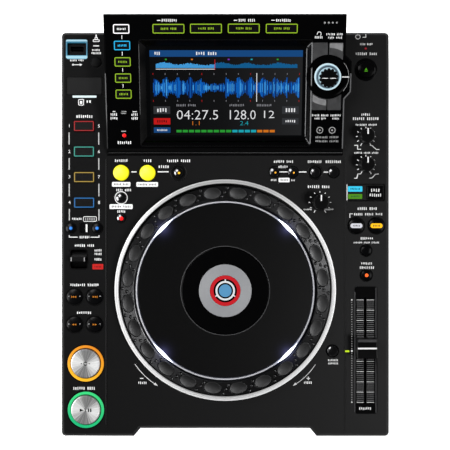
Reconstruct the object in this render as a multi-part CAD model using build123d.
from build123d import *
import math
import os

# Slot-loading disc player for DJ use: low case with a large jog wheel, and a
# raised, tilted display console across the rear.  Millimetres.
# +X right, +Y to the rear, +Z up; origin at the bottom centre of the whole.

# ----------------------------------------------------------- driving sizes
WIDTH = 320.0            # across the case
FRONT_Y = -202.5         # front of the two wings
DECK_REAR_Y = 192.0      # rear edge of the top panel
CONSOLE_REAR_Y = 202.5   # rear edge of the raised console
DECK_Z = 78.0            # top face of the deck
TOP_Z = 115.5            # rear edge of the console
FOOT_H = 7.0
SPLIT_Z = 44.0           # joint between lower case and top panel
PANEL_T = 3.0            # deck thickness
WALL = 3.0
EDGE_R = 4.0             # outer corner radius in plan
NOTCH_Y = -194.8         # front face between the wings
NOTCH_OUT = 89.4         # half width of the notch at the wing fronts
NOTCH_IN = 83.0          # half width at its bottom

JOG_Y = -59.5            # jog wheel centre
JOG_R = 101.9            # rim of the rotating dial
JOG_TOP = 90.6
JOG_WELL_R = 99.5        # hole in the deck below the dial
TRIM_RI, TRIM_RO = 103.8, 108.4
PLATE_RI, PLATE_RO = 42.9, 83.6
RING_RI, RING_RO = 84.2, 87.2
DISPLAY_R = 41.9

LIP_Y, LIP_Z = 77.2, 82.5            # front edge of the console top
CON_L, CON_R = -114.8, 114.3         # console sides
BULGE_X = 120.3                      # console side beside the selector

BTN_GAP = 0.45           # gap between a button and its hole
BTN_BOT = 70.0           # underside of the deck buttons
DISC_Z = 53.0            # plane of the disc inside

A = math.atan2(TOP_Z - LIP_Z, CONSOLE_REAR_Y - LIP_Y)
CON_LEN = math.hypot(TOP_Z - LIP_Z, CONSOLE_REAR_Y - LIP_Y)
NODES = {}

CON = Location(Plane(origin=(0, LIP_Y, LIP_Z), x_dir=(1, 0, 0),
                     z_dir=(0, -math.sin(A), math.cos(A))))


# ----------------------------------------------------------- small helpers
def box(x0, x1, y0, y1, z0, z1):
    return Pos((x0 + x1) / 2, (y0 + y1) / 2, (z0 + z1) / 2) * Box(
        abs(x1 - x0), abs(y1 - y0), abs(z1 - z0))


def cyl(x, y, r, z0, z1):
    return Pos(x, y, (z0 + z1) / 2) * Cylinder(r, abs(z1 - z0))


def ring(x, y, ro, ri, z0, z1):
    return cyl(x, y, ro, z0, z1) - cyl(x, y, ri, z0 - 1, z1 + 1)


def rrect(x, y, w, h, r, z0, z1):
    return extrude(Pos(x, y, z0) * RectangleRounded(w, h, r), amount=z1 - z0)


def cyl_y(x, z, r, y0, y1):
    return Pos(x, (y0 + y1) / 2, z) * Rot(90, 0, 0) * Cylinder(r, abs(y1 - y0))


def cyl_x(y, z, r, x0, x1):
    return Pos((x0 + x1) / 2, y, z) * Rot(0, 90, 0) * Cylinder(r, abs(x1 - x0))


def prism(pts, z0, z1):
    w = Polyline(*[(x, y, z0) for x, y in pts], close=True)
    return extrude(make_face(w), amount=z1 - z0, dir=(0, 0, 1))


def side_prism(pts, x0, x1):
    w = Polyline(*[(x0, y, z) for y, z in pts], close=True)
    return extrude(make_face(w), amount=x1 - x0, dir=(1, 0, 0))


def top_edges(shape, z):
    return [e for e in shape.edges() if abs(e.bounding_box().min.Z - z) < 1e-4
            and abs(e.bounding_box().max.Z - z) < 1e-4]


def soft_top(shape, z, r):
    return fillet(top_edges(shape, z), r)


def keep(name, *shapes):
    solids = []
    for s in shapes:
        for one in (s if isinstance(s, (list, tuple)) else [s]):
            solids += list(one.solids())
    NODES[name] = solids


# ----------------------------------------------------------- deck controls
# x, y, radius of the round keys in the top panel
PLAY = (-136.0, -176.5, 14.6)
CUE = (-136.2, -131.2, 14.6)
TRACK = [(-147.0, -66.1, 7.4), (-127.4, -66.2, 7.4)]
SEARCH = [(-147.0, -93.1, 7.4), (-127.4, -93.1, 7.4)]
BANK = [(-150.7, 0.8, 4.7), (-124.7, 0.8, 4.7)]
LOOP_IN = (-101.8, 55.0, 7.5)
LOOP_OUT = (-76.0, 54.9, 7.5)
RELOOP = (-45.5, 55.3, 4.2)
BEAT = (-101.6, 30.5, 4.6)
SLIP = (-101.7, 10.9, 3.7)
CALLS = [(48.1, 55.8, 4.4), (66.0, 55.7, 4.4)]
MEMORY = [(87.8, 55.4, 4.4), (105.7, 55.3, 4.6)]
SYNC = (127.8, 3.2, 7.3)
MASTER = (147.4, 3.2, 7.3)
TEMPO = [(137.4, -21.0, 4.9), (137.7, -45.1, 5.0)]
RESET = (104.7, -119.0, 4.9)
EJECT = (137.2, 155.6, 8.0)
USB_STOP = (-126.0, 162.9, 4.9)
PADS = [(-137.7, 100.4), (-137.7, 75.5), (-137.6, 50.6), (-137.5, 25.7)]
PAD_W, PAD_H = 20.0, 10.3
CALL_KEY = (-137.5, 0.8, 7.8, 8.8)
MODE = (146.5, 35.4, 15.6, 13.0)
KNOBS = {"jog_adjust_knob": (92.4, 26.0, 7.7),
         "touch_knob": (137.3, 90.3, 7.5),
         "release_knob": (137.3, 62.7, 7.5)}
LEVER = (-143.1, -29.4)          # centre of the direction lever's well
FADER_X = 136.7
FADER_MID = -119.3
FADER_Y = -115.1                 # cap's place at rest
FADER_HALF = 50.0
CARD = (-137.5, 139.6, 33.6, 16.6)
USB = (-145.1, 176.0, 21.2, 20.2)
USB_IN = (-145.1, 176.4, 17.4, 12.2)

# ----------------------------------------------------------- top panel
cy = (FRONT_Y + DECK_REAR_Y) / 2
deck = rrect(0, cy, WIDTH, DECK_REAR_Y - FRONT_Y, EDGE_R, SPLIT_Z, DECK_Z)
notch = prism([(-NOTCH_OUT - 4, FRONT_Y - 5), (-NOTCH_OUT, FRONT_Y),
               (-NOTCH_IN, NOTCH_Y), (NOTCH_IN, NOTCH_Y),
               (NOTCH_OUT, FRONT_Y), (NOTCH_OUT + 4, FRONT_Y - 5)], 0, 90)
deck = deck - notch
front_edges = [e for e in top_edges(deck, DECK_Z) if e.center().Y < -190.0]
deck = chamfer(front_edges, 2.6)
rest_edges = [e for e in top_edges(deck, DECK_Z)
              if e.center().Y > DECK_REAR_Y - 0.5 or abs(e.center().X) > WIDTH / 2 - 0.6]
try:
    deck = chamfer(rest_edges, 0.8)
except Exception:
    pass
inner_notch = prism([(-NOTCH_OUT - 5.0, FRONT_Y - 5), (-NOTCH_OUT - 2.4, FRONT_Y),
                     (-NOTCH_IN - 2.0, NOTCH_Y + WALL), (NOTCH_IN + 2.0, NOTCH_Y + WALL),
                     (NOTCH_OUT + 2.4, FRONT_Y), (NOTCH_OUT + 5.0, FRONT_Y - 5)], 0, 90)
hollow = (box(-WIDTH / 2 + WALL, WIDTH / 2 - WALL, FRONT_Y + WALL, DECK_REAR_Y + 5,
              SPLIT_Z - 5, DECK_Z - PANEL_T) - inner_notch)
deck = deck - hollow

# lugs under the deck that carry the direction lever's pin
for dx in (-1, 1):
    lug = box(LEVER[0] + dx * 8.4, LEVER[0] + dx * 11.0, LEVER[1] - 4, LEVER[1] + 4,
              62.0, DECK_Z - PANEL_T + 0.2)
    deck = deck + lug
deck = deck - cyl_x(LEVER[1], 66.0, 1.9, LEVER[0] - 15, LEVER[0] + 15)

holes = [cyl(0, JOG_Y, JOG_WELL_R, 60, 90)]
for x, y, r in ([PLAY, CUE, LOOP_IN, LOOP_OUT, RELOOP, BEAT, SLIP, SYNC, MASTER,
                 RESET, EJECT, USB_STOP] + TRACK + SEARCH + BANK + CALLS + MEMORY + TEMPO):
    holes.append(cyl(x, y, r + BTN_GAP, 60, 90))
for x, y in PADS:
    holes.append(rrect(x, y, PAD_W + 2 * BTN_GAP, PAD_H + 2 * BTN_GAP, 1.6, 60, 90))
for x, y, w, h in (CALL_KEY, MODE):
    holes.append(rrect(x, y, w + 2 * BTN_GAP, h + 2 * BTN_GAP, 1.2, 60, 90))
for x, y, r in KNOBS.values():
    holes.append(cyl(x, y, 3.5, 60, 90))
holes.append(rrect(LEVER[0], LEVER[1], 16.2, 18.4, 2.4, 60, 90))
holes.append(box(FADER_X - 1.1, FADER_X + 1.1, FADER_MID - FADER_HALF - 2.2,
                 FADER_MID + FADER_HALF + 2.2, 60, 90))
holes.append(rrect(CARD[0], CARD[1], CARD[2] + 0.9, CARD[3] + 0.9, 1.6, 60, 90))
holes.append(rrect(USB[0], USB[1], USB[2], USB[3], 2.0, 60, 90))
holes.append(box(-106, 106, 82.0, 185.0, 60, 90))
# shallow seats: lit rings of play and cue, mode window, fader plate, lamps
for x, y, r in (PLAY, CUE):
    holes.append(cyl(x, y, 18.2, DECK_Z - 1.5, 90))
holes.append(rrect(137.2, 35.6, 37.6, 17.2, 1.2, DECK_Z - 0.8, 90))
holes.append(rrect(137.2, -118.3, 22.6, 124.4, 3.0, DECK_Z - 0.8, 90))
holes.append(cyl(EJECT[0], EJECT[1], 11.2, DECK_Z - 0.8, 90))
LAMPS = [(126.9, 39.1, 14.2, 5.4), (126.9, 31.8, 14.2, 4.8), (-137.4, 129.3, 23.4, 2.4),
         (-124.4, -36.8, 10.6, 5.4), (119.1, -119.4, 4.2, 2.4)]
for x, y, w, h in LAMPS:
    holes.append(rrect(x, y, w, h, 0.5, DECK_Z - 1.6, 90))
holes.append(cyl(137.1, 176.2, 1.3, DECK_Z - 1.6, 90))
# two fine parting lines that run back from the wings
for x in (-115.4, 116.0):
    holes.append(box(x - 0.25, x + 0.25, -198.5, 70.0, DECK_Z - 0.35, 90))
# window for the slot bezel
holes.append(box(-72.2, 72.2, NOTCH_Y - 1, NOTCH_Y + WALL + 1, SPLIT_Z - 1, 64.2))
for h in holes:
    deck = deck - h
keep("top_panel", deck)

# ----------------------------------------------------------- lower case
low = rrect(0, cy, WIDTH, DECK_REAR_Y - FRONT_Y, EDGE_R, FOOT_H, SPLIT_Z) - notch
low = chamfer([e for e in low.edges() if abs(e.bounding_box().max.Z - FOOT_H) < 1e-4
               and abs(e.center().X) > 159], 2.0)
low = low - (box(-WIDTH / 2 + WALL, WIDTH / 2 - WALL, FRONT_Y + WALL, DECK_REAR_Y + 5,
                 FOOT_H + 3, SPLIT_Z + 5) - inner_notch)
low = low - box(-72.2, 72.2, NOTCH_Y - 1, NOTCH_Y + WALL + 1, 21.8, SPLIT_Z + 1)
SCREWS = [(-140, -185), (140, -185), (-140, -20), (140, -20),
          (-70, 40), (70, 40), (-140, 178), (140, 178)]
for x, y in SCREWS:
    low = low + cyl(x, y, 4.0, FOOT_H + 2.5, 19.8)
for x, y in SCREWS:
    low = low - cyl(x, y, 1.7, 0, 30)
# air slots in the floor
for i in range(7):
    low = low - box(60 + i * 8, 63 + i * 8, 90, 140, 0, 12)
keep("bottom_case", low)

keep("case_screws", *[cyl(x, y, 3.2, FOOT_H - 1.6, FOOT_H) + cyl(x, y, 1.5, FOOT_H - 0.2, 18)
                      for x, y in SCREWS])
feet = []
for x, y in ((-136, -160), (136, -160), (-136, 150), (136, 150)):
    f = cyl(x, y, 12.0, 0, FOOT_H)
    f = chamfer([e for e in f.edges() if abs(e.bounding_box().max.Z) < 1e-4], 1.2)
    feet.append(f)
keep("rubber_feet", *feet)

# ----------------------------------------------------------- front slot bezel
bez = box(-72, 72, NOTCH_Y, NOTCH_Y + WALL, 22, 64)
bez = bez + (box(-68, 68, NOTCH_Y + WALL - 0.2, NOTCH_Y + 9.0, 44.5, 61.5))
slot = rrect(0, 0, 128, 6.4, 3.0, -20, 20)
bez = bez - Pos(0, NOTCH_Y, DISC_Z) * Rot(90, 0, 0) * slot
bez = bez - side_prism([(NOTCH_Y - 0.1, DISC_Z - 5.0), (NOTCH_Y + 2.4, DISC_Z - 3.0),
                        (NOTCH_Y + 2.4, DISC_Z + 3.0), (NOTCH_Y - 0.1, DISC_Z + 5.0)], -64, 64)
keep("front_bezel", bez)

# ----------------------------------------------------------- rear panel
RP0, RP1 = 186.4, 188.0
rear = box(-156.8, 156.8, RP0, RP1, 10.2, 74.8)
AC_X, AC_Z = 118.0, 36.0
PWR_X, PWR_Z = 84.0, 36.0
LAN_X, USBB_X = 34.0, 10.0
RCA = [(-36.0, 36.0), (-72.0, 36.0), (-92.0, 36.0)]
JACK = (-120.0, 36.0)
rear = rear - box(AC_X - 14.2, AC_X + 14.2, RP0 - 1, RP1 + 1, AC_Z - 10.2, AC_Z + 10.2)
rear = rear - box(PWR_X - 7.5, PWR_X + 7.5, RP0 - 1, RP1 + 1, PWR_Z - 7.5, PWR_Z + 7.5)
rear = rear - box(LAN_X - 8.2, LAN_X + 8.2, RP0 - 1, RP1 + 1, 29.0, 43.4)
rear = rear - box(USBB_X - 6.2, USBB_X + 6.2, RP0 - 1, RP1 + 1, 30.0, 41.6)
for x, z in RCA:
    rear = rear - cyl_y(x, z, 5.2, RP0 - 1, RP1 + 1)
rear = rear - cyl_y(JACK[0], JACK[1], 4.2, RP0 - 1, RP1 + 1)
for i in range(10):
    rear = rear - box(-60 + i * 12, -52 + i * 12, RP0 - 1, RP1 + 1, 60.0, 63.0)
keep("rear_panel", rear)

# mains inlet: a shell with three blades
inlet = box(AC_X - 13.9, AC_X + 13.9, RP0 - 18, RP1 + 1.4, AC_Z - 9.9, AC_Z + 9.9)
inlet = inlet - box(AC_X - 12.1, AC_X + 12.1, RP0 - 16.4, RP1 + 3, AC_Z - 8.2, AC_Z + 8.2)
for dx, dz in ((-7, -2), (7, -2), (0, 2.2)):
    inlet = inlet + box(AC_X + dx - 1, AC_X + dx + 1, RP0 - 17.0, RP0 - 4.2,
                        AC_Z + dz - 2, AC_Z + dz + 2)
keep("ac_inlet", inlet)

# rear sockets: network, data, three phono jacks, control jack
lan = box(LAN_X - 8.0, LAN_X + 8.0, RP0 - 16, RP1 + 0.8, 29.2, 43.2)
lan = lan - box(LAN_X - 6.0, LAN_X + 6.0, RP0 - 11, RP1 + 2, 31.0, 40.0)
lan = lan - box(LAN_X - 3.0, LAN_X + 3.0, RP0 - 11, RP1 + 2, 39.0, 41.8)
usbb = box(USBB_X - 6.0, USBB_X + 6.0, RP0 - 12, RP1 + 0.8, 30.2, 41.4)
usbb = usbb - box(USBB_X - 4.4, USBB_X + 4.4, RP0 - 9, RP1 + 2, 31.6, 39.8)
sockets = [lan, usbb]
for x, z in RCA:
    j = cyl_y(x, z, 5.0, RP0 - 4, RP1 + 0.6) + cyl_y(x, z, 4.15, RP1, RP1 + 9.0)
    j = j + cyl_y(x, z, 6.2, RP1, RP1 + 1.6)
    sockets.append(j - cyl_y(x, z, 1.7, RP0 + 1, RP1 + 12))
cj = cyl_y(JACK[0], JACK[1], 4.0, RP0 - 9, RP1) + cyl_y(JACK[0], JACK[1], 5.4, RP1, RP1 + 1.8)
sockets.append(cj - cyl_y(JACK[0], JACK[1], 1.8, RP0 - 7, RP1 + 4))
keep("rear_sockets", *sockets)

pwr = box(PWR_X - 7.0, PWR_X + 7.0, RP0 - 6.0, RP1 + 4.0, PWR_Z - 7.0, PWR_Z + 7.0)
pwr = fillet([e for e in pwr.edges() if abs(e.center().Y - (RP1 + 4.0)) < 0.1], 0.9)
keep("power_button", pwr)

# ----------------------------------------------------------- console shell
plan = [(CON_L, 60), (CON_L, 210), (CON_R, 210),
        (CON_R, LIP_Y + 91.2 * math.cos(A)), (BULGE_X, LIP_Y + 85.0 * math.cos(A)),
        (BULGE_X, LIP_Y + 56.0 * math.cos(A)), (CON_R, LIP_Y + 49.2 * math.cos(A)),
        (CON_R, 60)]


def plan_in(d):
    return [(CON_L + d, 60), (CON_L + d, 210), (CON_R - d, 210),
            (CON_R - d, LIP_Y + 91.2 * math.cos(A) - 0.4 * d),
            (BULGE_X - d, LIP_Y + 85.0 * math.cos(A) - 0.4 * d),
            (BULGE_X - d, LIP_Y + 56.0 * math.cos(A) + 0.4 * d),
            (CON_R - d, LIP_Y + 49.2 * math.cos(A) + 0.4 * d), (CON_R - d, 60)]


profile = [(71.6, DECK_Z), (72.0, 79.2), (LIP_Y - 0.6, LIP_Z - 0.6), (LIP_Y, LIP_Z),
           (CONSOLE_REAR_Y - 1.2, TOP_Z - 0.1), (CONSOLE_REAR_Y, TOP_Z - 1.2),
           (CONSOLE_REAR_Y, 96.0), (191.0, DECK_Z)]
shell = prism(plan, 70, 125) & side_prism(profile, -130, 130)
pocket = prism(plan_in(1.4), 70, 130) & (CON * box(-130, 130, 1.2, CON_LEN - 1.6, -2.5, 20))
cav = prism(plan_in(4.2), 70, 130) & box(-130, 130, 80.5, 186.5, 70, 130)
cav2 = prism(plan_in(4.2), 70, 130) & (CON * box(-130, 130, 6.0, CON_LEN - 6.0, -14, 20))
cav3 = CON * box(80.0, 112.5, 36.0, 104.6, -12, 20)
shell = shell - pocket - cav - cav2 - cav3
keep("console_housing", shell)

# gloss panel with the sunken frame round the screen
SRC = [(-98.0, 115.4, 15.3, 8.7), (-97.6, 100.0, 15.3, 8.7), (-97.5, 84.6, 15.3, 8.7),
       (-97.4, 69.3, 15.3, 8.7), (-97.3, 54.0, 15.3, 8.7)]
UTIL = [(-98.0, 35.7, 5.4, 3.0), (-98.2, 18.1, 5.4, 3.0)]
MENU = [(-53.5, 115.6), (-18.2, 115.8), (17.4, 115.9), (53.2, 115.8)]
SEL_U, SEL_V = 97.9, 70.3
COLLAR_R = 19.8
NAV = [(90.0, 94.3, 14.2, 16.6), (105.1, 94.3, 13.2, 16.6),
       (90.2, 46.5, 14.0, 15.6), (104.5, 46.5, 13.0, 15.6)]
OUT_W = (-81.8, 82.6, 3.7, 104.9)
IN_W = (-76.0, 77.5, 11.15, 98.8)
SUNK = 5.0

panel = prism(plan_in(1.5), 70, 130) & (CON * box(-130, 130, 1.3, CON_LEN - 1.7, -2.5, 0))
panel = panel + CON * box(OUT_W[0] - 2, OUT_W[1] + 2, 8.0, OUT_W[3] + 2, -SUNK - 1, -2.4)
fu, fv = (OUT_W[0] + OUT_W[1]) / 2, (OUT_W[2] + OUT_W[3]) / 2
iu, iv = (IN_W[0] + IN_W[1]) / 2, (IN_W[2] + IN_W[3]) / 2
funnel = loft([Pos(fu, fv, 0.1) * RectangleRounded(OUT_W[1] - OUT_W[0] + 0.2, OUT_W[3] - OUT_W[2] + 0.2, 2.0),
               Pos(iu, iv, -SUNK - 1.1) * RectangleRounded(IN_W[1] - IN_W[0], IN_W[3] - IN_W[2], 2.0)])
panel = panel - CON * funnel
cuts = []
for u, v, w, h in SRC:
    cuts.append(rrect(u, v, w + 0.9, h + 0.9, 1.4, -20, 20))
for u, v, w, h in UTIL:
    cuts.append(rrect(u, v, w + 0.9, h + 0.9, 0.8, -20, 20))
for u, v in MENU:
    cuts.append(rrect(u, v, 30.0 + 0.9, 8.8 + 0.9, 1.4, -20, 20))
for u, v, w, h in NAV:
    cuts.append(rrect(u, v, w + 0.9, h + 0.9, 1.4, -20, 20) - cyl(SEL_U, SEL_V, COLLAR_R + 0.8, -30, 30))
cuts.append(cyl(SEL_U, SEL_V, COLLAR_R - 1.6, -1.2, 20))
cuts.append(cyl(SEL_U, SEL_V, 12.9, -20, 20))
for c in cuts:
    panel = panel - CON * c
keep("console_panel", panel)

keep("screen_glass", CON * box(-78.6, 80.1, 9.0, 100.6, -SUNK - 3.0, -SUNK - 1.05))
keep("lcd_module", CON * box(-77.0, 78.5, 10.5, 99.0, -SUNK - 9.0, -SUNK - 3.05))

KB, KT = -7.0, 0.9
keep("source_keys",
     *[CON * rrect(u, v, w, h, 1.2, KB, KT) for u, v, w, h in SRC],
     *[CON * rrect(u, v, w, h, 0.6, KB, KT) for u, v, w, h in UTIL])
keep("menu_keys", *[CON * rrect(u, v, 30.0, 8.8, 1.2, KB, KT) for u, v in MENU])
keep("nav_keys", *[CON * (rrect(u, v, w, h, 1.2, KB, KT)
                          - cyl(SEL_U, SEL_V, COLLAR_R + 1.3, -30, 30)) for u, v, w, h in NAV])
sel = cyl(0, 0, 9.2, 7.6, 12.0)
sel = fillet(top_edges(sel, 12.0), 0.8)
for i in range(16):                       # grip notches
    sel = sel - Rot(0, 0, 22.5 * i) * Pos(9.75, 0, 10.0) * Cylinder(1.15, 8.0)
sel = sel + cyl(0, 0, 7.4, -2.0, 7.8) + cyl(0, 0, 3.0, -12.0, -1.8)
keep("selector_knob", CON * Pos(SEL_U, SEL_V, 0) * sel)

# ----------------------------------------------------------- round deck keys
def button(x, y, r, top=80.0, f=0.8):
    return soft_top(cyl(x, y, r, BTN_BOT, top), top, f)


keep("play_button", button(*PLAY, top=80.6, f=1.0))
keep("cue_button", button(*CUE, top=80.6, f=1.0))
keep("track_keys", *[button(*b, top=80.4, f=1.2) for b in TRACK])
keep("search_keys", *[button(*b, top=80.4, f=1.2) for b in SEARCH])
keep("loop_in_button", button(*LOOP_IN, top=80.6, f=1.4))
keep("loop_out_button", button(*LOOP_OUT, top=80.6, f=1.4))
keep("reloop_button", button(*RELOOP, top=80.0, f=0.8))
keep("beat_loop_button", button(*BEAT, top=80.4, f=1.4))
keep("slip_button", button(*SLIP, top=79.8, f=0.8))
keep("cue_memory_keys", *[button(*b, top=79.8) for b in CALLS + MEMORY])
keep("sync_button", button(*SYNC, top=80.6, f=1.2))
keep("master_button", button(*MASTER, top=80.6, f=1.2))
keep("tempo_keys", *[button(*b, top=80.0, f=1.0) for b in TEMPO])
keep("tempo_reset_button", button(*RESET, top=80.0, f=1.0))
keep("eject_button", button(*EJECT, top=80.0, f=1.0))
keep("usb_stop_button", button(*USB_STOP, top=79.8, f=0.8))
for i, (x, y) in enumerate(PADS):
    keep("hot_cue_pad_%d" % (i + 1),
         soft_top(rrect(x, y, PAD_W, PAD_H, 1.3, BTN_BOT, 80.0), 80.0, 0.5))
keep("bank_keys", *[button(*b, top=79.6, f=0.8) for b in BANK],
     soft_top(rrect(CALL_KEY[0], CALL_KEY[1], CALL_KEY[2], CALL_KEY[3], 1.0, BTN_BOT, 79.6), 79.6, 0.5))
keep("jog_mode_button", soft_top(rrect(*MODE, 1.0, BTN_BOT, 79.2), 79.2, 0.5))

# knobs on their shafts
for name, (x, y, r) in KNOBS.items():
    kn = cyl(x, y, r, 78.7, 93.5)
    kn = chamfer(top_edges(kn, 93.5), 0.8)
    keep(name, kn + cyl(x, y, 3.0, 66.0, 78.9))

# direction lever: a paddle rocking about a pin across its well
LX, LY = LEVER
PIN_Z = 66.0
lever = box(LX - 7.4, LX + 7.4, LY - 2.4, LY + 2.4, 72.0, 84.0)
lever = fillet([e for e in lever.edges() if abs(e.center().Z - 84.0) < 0.1], 0.9)
apron = cyl_x(LY, PIN_Z, 10.5, LX - 7.4, LX + 7.4) & box(LX - 9, LX + 9, LY - 7.6, LY + 7.6, PIN_Z + 2, PIN_Z + 20)
lever = lever + apron + box(LX - 7.4, LX + 7.4, LY - 2.0, LY + 2.0, PIN_Z - 3, 73)
lever = lever + cyl_x(LY, PIN_Z, 1.5, LX - 9.6, LX + 9.6)
keep("direction_lever", lever)

# fader cap, stem and track
cap = box(FADER_X - 9.6, FADER_X + 9.6, FADER_Y - 9.6, FADER_Y + 9.6, 79.2, 93.0)
cap = fillet([e for e in cap.edges() if abs(e.center().Z - 93.0) < 0.1], 0.8)
cap = cap - cyl_x(FADER_Y, 104.6, 13.0, FADER_X - 12, FADER_X + 12)
cap = cap + box(FADER_X - 0.7, FADER_X + 0.7, FADER_Y - 1.4, FADER_Y + 1.4, 60.0, 79.6)
keep("tempo_fader_cap", cap)
track = box(FADER_X - 5, FADER_X + 5, FADER_MID - 57, FADER_MID + 57, 55, 66)
track = track - box(FADER_X - 1.4, FADER_X + 1.4, FADER_MID - 53, FADER_MID + 53, 58, 70)
keep("fader_track", track)

# card door on its rear edge
card = rrect(CARD[0], CARD[1], CARD[2], CARD[3], 1.4, 75.8, 78.5)
card = card - rrect(CARD[0], CARD[1] - CARD[3] / 2 + 2.0, 14, 2.0, 0.8, 77.9, 80)
keep("card_door", card)

# USB port and card slot under the deck
ub = box(USB_IN[0] - 9.4, USB_IN[0] + 9.4, USB_IN[1] - 8.4, USB_IN[1] + 8.4, 58, 73.8)
ub = ub - box(USB_IN[0] - 6.25, USB_IN[0] + 6.25, USB_IN[1] - 2.5, USB_IN[1] + 2.5, 61, 80)
sd = box(CARD[0] - 15, CARD[0] + 15, CARD[1] - 6.5, CARD[1] + 6.5, 56, 73.6)
sd = sd - box(CARD[0] - 12.2, CARD[0] + 12.2, CARD[1] - 1.2, CARD[1] + 1.2, 58, 80)
keep("media_sockets", ub, sd)

# ----------------------------------------------------------- lenses and lit rings
lens = [ring(PLAY[0], PLAY[1], 18.1, 15.3, DECK_Z - 1.4, DECK_Z + 0.9),
        ring(CUE[0], CUE[1], 18.1, 15.3, DECK_Z - 1.4, DECK_Z + 0.9)]
for x, y, w, h in LAMPS:
    lens.append(rrect(x, y, w - 0.2, h - 0.2, 0.4, DECK_Z - 1.6, DECK_Z + 0.1))
lens.append(cyl(137.1, 176.2, 1.2, DECK_Z - 1.6, DECK_Z + 0.3))
uf = rrect(USB[0], USB[1], USB[2] - 0.2, USB[3] - 0.2, 1.9, 74.0, DECK_Z + 0.6)
lens.append(uf - rrect(USB_IN[0], USB_IN[1], USB_IN[2], USB_IN[3], 0.8, 60, 90))
lens.append(CON * ring(SEL_U, SEL_V, 12.7, 8.0, -3.0, 0.6))
keep("indicator_lenses", *lens)

# ----------------------------------------------------------- jog wheel
base = cyl(0, JOG_Y, 104.0, 71.0, 75.0) + cyl(0, JOG_Y, 9.0, 68.0, 85.0)
keep("jog_base", base)
trim = ring(0, JOG_Y, TRIM_RO, TRIM_RI, DECK_Z, 82.0)
trim = chamfer([e for e in top_edges(trim, 82.0)], 0.7)
keep("jog_trim_ring", trim)
sect = [(9.5, 76.5), (14.0, 76.5), (14.0, 81.5), (90.0, 81.5), (92.0, 79.2), (JOG_R, 79.2),
        (JOG_R, JOG_TOP - 1.0), (JOG_R - 1.0, JOG_TOP), (88.6, JOG_TOP), (87.7, JOG_TOP - 0.9),
        (87.7, 84.0), (9.5, 84.0)]
w = Polyline(*[(r, 0, z) for r, z in sect], close=True)
dial = revolve(make_face(w), Axis.Z, 360)
# finger dimples in the rim and the ribs round its side
for i in range(24):
    dim = Rot(0, 0, 7.5 + 15 * i) * Pos(94.6, 0, JOG_TOP + 24.6) * Sphere(26.0)
    dial = dial - dim
keep("jog_dial", Pos(0, JOG_Y, 0) * dial)
plate = ring(0, JOG_Y, PLATE_RO, PLATE_RI, 84.0, 90.0)
plate = fillet(top_edges(plate, 90.0), 0.6)
keep("jog_top_plate", plate)
keep("jog_light_ring", ring(0, JOG_Y, RING_RO, RING_RI, 84.0, 89.8))
disp = cyl(0, JOG_Y, DISPLAY_R, 85.0, 89.6)
disp = chamfer(top_edges(disp, 89.6), 0.4)
keep("jog_display", disp)

# ----------------------------------------------------------- electronics
board = box(-82, 150, -12, 172, 20.0, 21.6)
for x, y, w, d, h in ((0, 60, 28, 28, 3), (50, 90, 20, 20, 2.5), (-40, 110, 16, 22, 2.5),
                      (90, 30, 12, 30, 9), (-30, 20, 40, 12, 7), (110, 120, 24, 24, 12)):
    board = board + box(x - w / 2, x + w / 2, y - d / 2, y + d / 2, 21.4, 21.6 + h)
keep("main_board", board)
psu = box(-152, -94, 40, 168, 10.0, 12.0)
psu = psu + box(-148, -118, 60, 100, 11.8, 44) + box(-112, -98, 60, 86, 11.8, 36)
psu = psu + cyl(-106, 110, 8, 11.8, 40) + cyl(-106, 130, 8, 11.8, 40) + box(-148, -144, 110, 160, 11.8, 38)
keep("power_supply", psu)

# ----------------------------------------------------------- disc mechanism
SP_Y = -115.0
frame = box(-79, 79, -187, -22, 30.0, 33.0)
frame = frame + box(-79, -76, -187, -22, 32.8, 60.0) + box(76, 79, -187, -22, 32.8, 60.0)
for x, y in ((-72, -180), (72, -180), (-72, -30), (72, -30)):
    frame = frame + cyl(x, y, 4.0, 10.0, 30.2)
frame = frame + cyl(0, SP_Y, 13.0, 32.8, 40.0)
for x in (-26, 26):
    frame = frame + box(x - 4, x + 4, -101.0, -98.0, 32.8, 46.0)
    frame = frame + box(x - 4, x + 4, -30.0, -27.0, 32.8, 46.0)
    frame = frame + cyl_y(x, 42.0, 1.5, -98.5, -29.5)
frame = frame - cyl(0, SP_Y, 1.9, 25, 50)
frame = frame - cyl_x(-179.0, 48.4, 1.9, -85, 85)
keep("drive_frame", frame)
hub = cyl(0, SP_Y, 12.0, 44.0, 50.0) + cyl(0, SP_Y, 7.2, 49.8, 52.2) + cyl(0, SP_Y, 1.5, 31.0, 44.2)
keep("disc_spindle", hub)
roller = cyl_x(-179.0, 48.4, 3.4, -64, 64) + cyl_x(-179.0, 48.4, 1.5, -78.5, 78.5)
keep("feed_roller", roller)
sled = box(-32, 32, -96.0, -76.0, 36.0, 47.0)
for x in (-26, 26):
    sled = sled - cyl_y(x, 42.0, 1.9, -110, -60)
sled = sled + cyl(0, -91.0, 4.5, 46.8, 49.4)
keep("pickup_sled", sled)

# ----------------------------------------------------------- write the pieces
os.makedirs("parts", exist_ok=True)
for name, solids in NODES.items():
    shape = solids[0] if len(solids) == 1 else Compound(children=solids)
    export_step(shape, "parts/%s.step" % name)
print(len(NODES), "nodes written")
